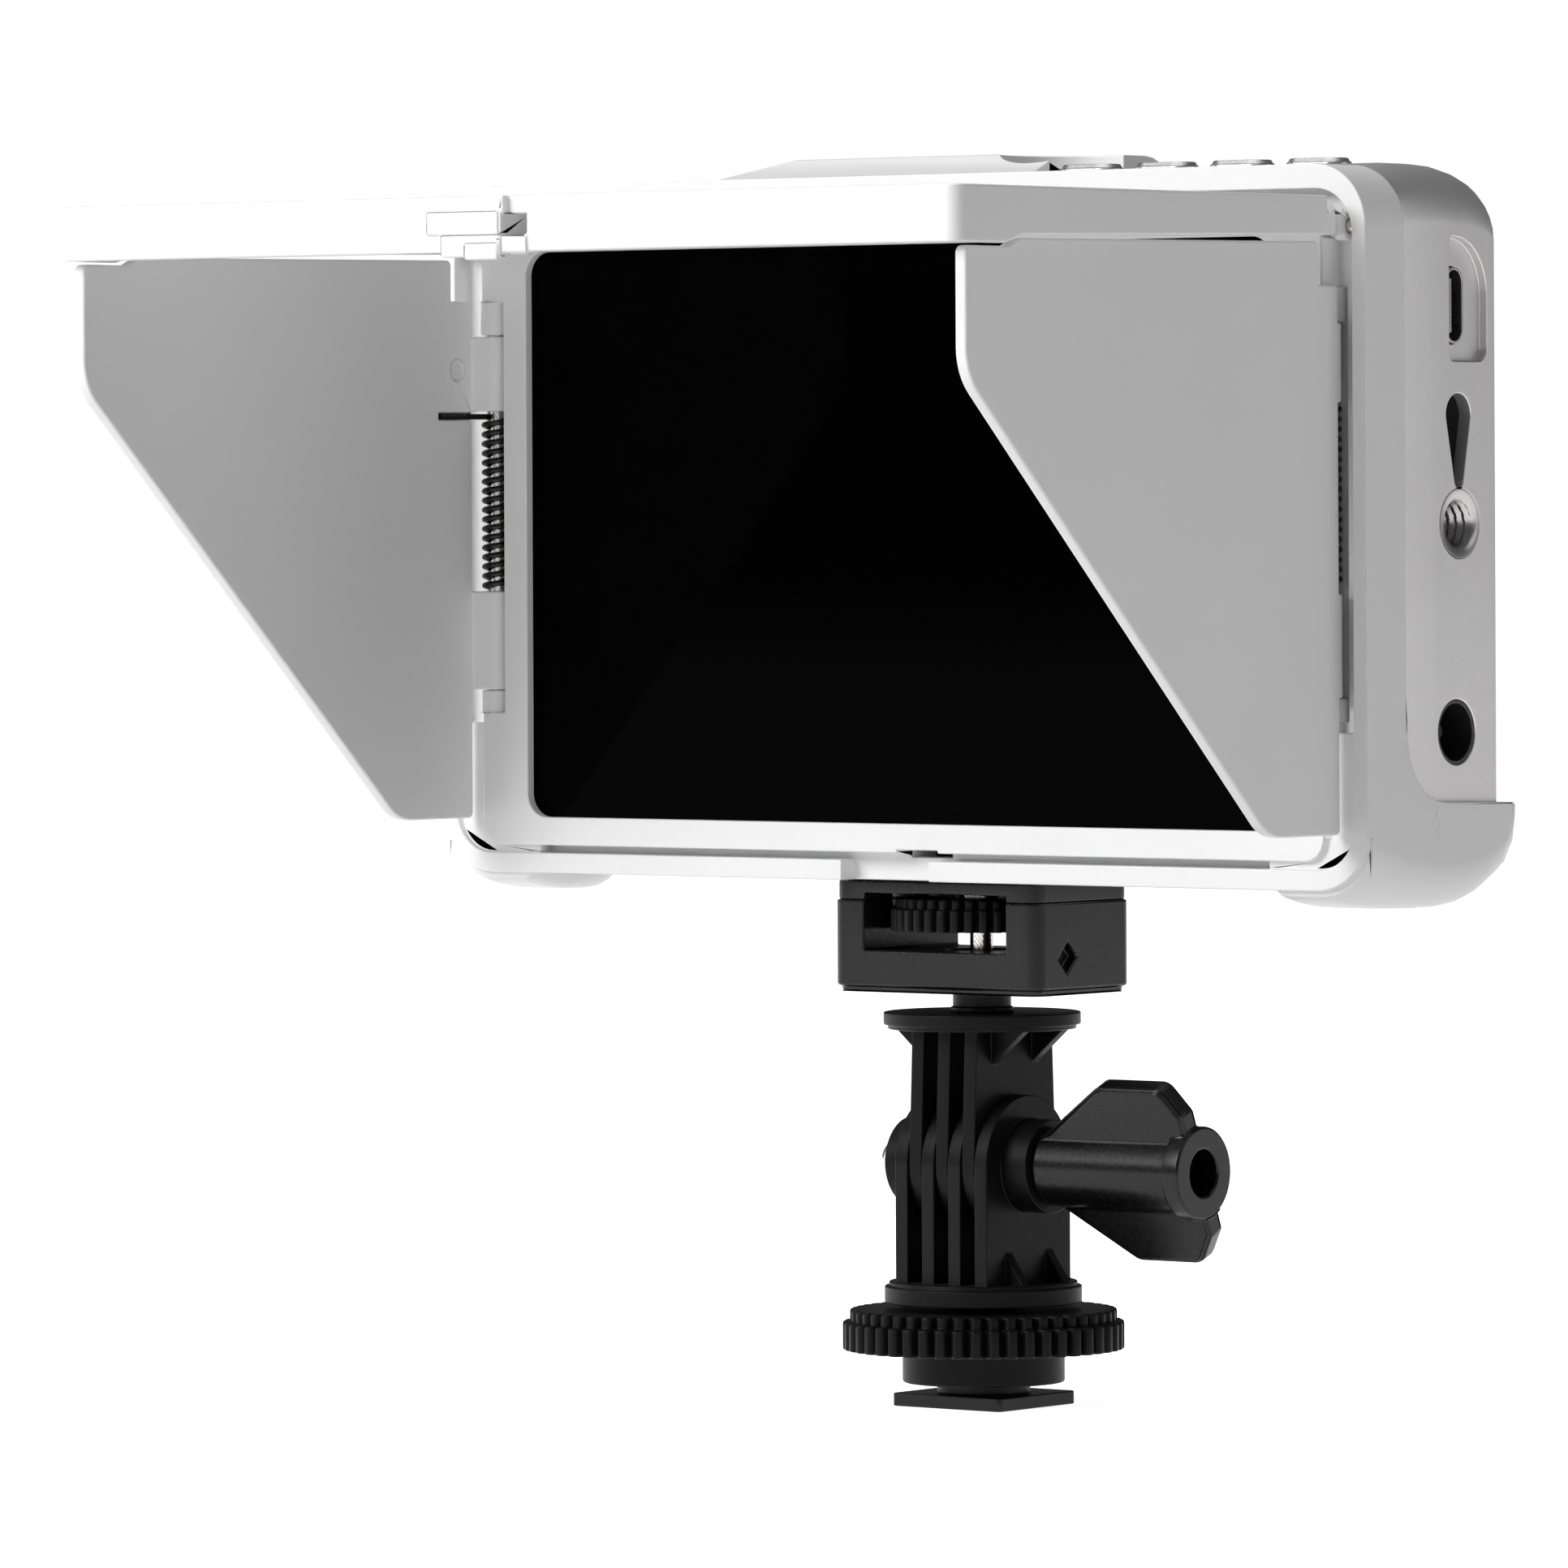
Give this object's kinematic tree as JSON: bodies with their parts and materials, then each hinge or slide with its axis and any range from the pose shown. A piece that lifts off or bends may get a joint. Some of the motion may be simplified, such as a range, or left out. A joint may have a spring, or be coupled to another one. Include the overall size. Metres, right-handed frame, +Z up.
{
  "type": "camera field monitor with sun hood",
  "caption": "Small camera monitor in a silver shell with a white folding sun hood, on a black tilting and swivelling shoe mount.",
  "frame": {"origin": "centre of the shoe foot's underside", "axes": "+Z up the mount's axis, +X to the viewer's right, the screen faces -Y"},
  "size_m": [0.158, 0.1245, 0.1705],
  "materials": {
    "black_metal": "satin black",
    "black_plastic": "fine matte",
    "steel": "polished",
    "knob_plastic": "satin",
    "pad_rubber": "matte",
    "silver_shell": "fine blasted",
    "port_plastic": "matte",
    "cover_glass": "gloss",
    "screen_cell": "dark gloss",
    "light_sheet": "satin",
    "plate_metal": "satin",
    "circuit_board": "satin",
    "port_metal": "satin",
    "button_metal": "fine blasted",
    "contact_metal": "polished",
    "spring_wire": "satin black",
    "white_plastic": "satin white"
  },
  "bodies": {
    "mount_base": {"shoe_foot": "black_metal", "lower_clevis": "black_plastic", "axle_nut": "steel"},
    "lock_wheel": {"lock_wheel": "black_plastic"},
    "tilt_knob": {"wing_knob": "knob_plastic", "axle_bolt": "steel"},
    "tilt_arm": {"upper_clevis": "black_plastic", "swivel_stem": "black_metal", "swivel_screw": "steel"},
    "monitor": {"block_body": "knob_plastic", "block_cap": "knob_plastic", "block_screws": "steel", "rubber_pad": "pad_rubber", "rear_shell": "silver_shell", "front_bezel": "port_plastic", "cover_glass": "cover_glass", "lcd_panel": "screen_cell", "backlight": "light_sheet", "chassis_plate": "plate_metal", "main_board": "circuit_board", "board_screws": "steel", "usb_c_port": "port_metal", "dc_jack": "port_plastic", "hdmi_port": "port_metal", "headphone_jack": "port_plastic", "side_insert": "port_metal", "bottom_insert": "port_metal", "button_board": "circuit_board", "battery_plate": "port_plastic", "battery_contacts": "contact_metal", "latch_spring": "spring_wire", "rear_screws": "black_metal", "hood_frame": "white_plastic", "top_pins": "steel", "left_hinge_rod": "steel", "right_hinge_rod": "steel"},
    "thumbwheel": {"thumbwheel": "black_plastic", "mount_screw": "steel"},
    "hood_top": {"hood_top": "white_plastic"},
    "left_flap": {"left_flap": "white_plastic", "left_spring": "spring_wire"},
    "right_flap": {"right_flap": "white_plastic", "right_spring": "spring_wire"},
    "button_1": {"button_1": "button_metal"},
    "button_2": {"button_2": "button_metal"},
    "button_3": {"button_3": "button_metal"},
    "button_4": {"button_4": "button_metal"},
    "battery_latch": {"battery_latch": "black_plastic"}
  },
  "joints": [
    {"name": "lock_wheel_turn", "type": "hinge", "parent": "mount_base", "child": "lock_wheel", "pos_m": [0, 0, 0.0104], "axis": [0, 0, 1], "continuous": true},
    {"name": "tilt_knob_turn", "type": "hinge", "parent": "mount_base", "child": "tilt_knob", "pos_m": [0.02, 0, 0.033], "axis": [1, 0, 0], "continuous": true},
    {"name": "tilt", "type": "hinge", "parent": "mount_base", "child": "tilt_arm", "pos_m": [0, 0, 0.033], "axis": [1, 0, 0], "range_deg": [-90, 90]},
    {"name": "swivel", "type": "hinge", "parent": "tilt_arm", "child": "monitor", "pos_m": [0, 0, 0.0566], "axis": [0, 0, 1], "continuous": true},
    {"name": "thumbwheel_turn", "type": "hinge", "parent": "monitor", "child": "thumbwheel", "pos_m": [0, 0, 0.067], "axis": [0, 0, 1], "continuous": true},
    {"name": "hood_top_lift", "type": "hinge", "parent": "monitor", "child": "hood_top", "pos_m": [0, -0.0191, 0.1595], "axis": [-1, 0, 0], "range_deg": [0, 20]},
    {"name": "left_flap_fold", "type": "hinge", "parent": "monitor", "child": "left_flap", "pos_m": [-0.0704, -0.0182, 0.12], "axis": [0, 0, 1], "range_deg": [0, 90], "stiffness_Nm_per_rad": 0.012, "springref_deg": -45.84},
    {"name": "right_flap_fold", "type": "hinge", "parent": "monitor", "child": "right_flap", "pos_m": [0.0704, -0.0182, 0.12], "axis": [0, 0, -1], "range_deg": [0, 87.8], "stiffness_Nm_per_rad": 0.012, "springref_deg": -45.84},
    {"name": "battery_latch_slide", "type": "slide", "parent": "monitor", "child": "battery_latch", "axis": [0, 0, -1], "range_m": [0, 0.003], "stiffness_N_per_m": 300, "springref_m": -0.002, "deforming": ["latch_spring"]},
    {"name": "button_1_press", "type": "slide", "parent": "monitor", "child": "button_1", "axis": [0, 0, -1], "range_m": [0, 0.0005], "stiffness_N_per_m": 1000, "springref_m": -0.0005},
    {"name": "button_2_press", "type": "slide", "parent": "monitor", "child": "button_2", "axis": [0, 0, -1], "range_m": [0, 0.0005], "stiffness_N_per_m": 1000, "springref_m": -0.0005},
    {"name": "button_3_press", "type": "slide", "parent": "monitor", "child": "button_3", "axis": [0, 0, -1], "range_m": [0, 0.0005], "stiffness_N_per_m": 1000, "springref_m": -0.0005},
    {"name": "button_4_press", "type": "slide", "parent": "monitor", "child": "button_4", "axis": [0, 0, -1], "range_m": [0, 0.0005], "stiffness_N_per_m": 1000, "springref_m": -0.0005}
  ]
}
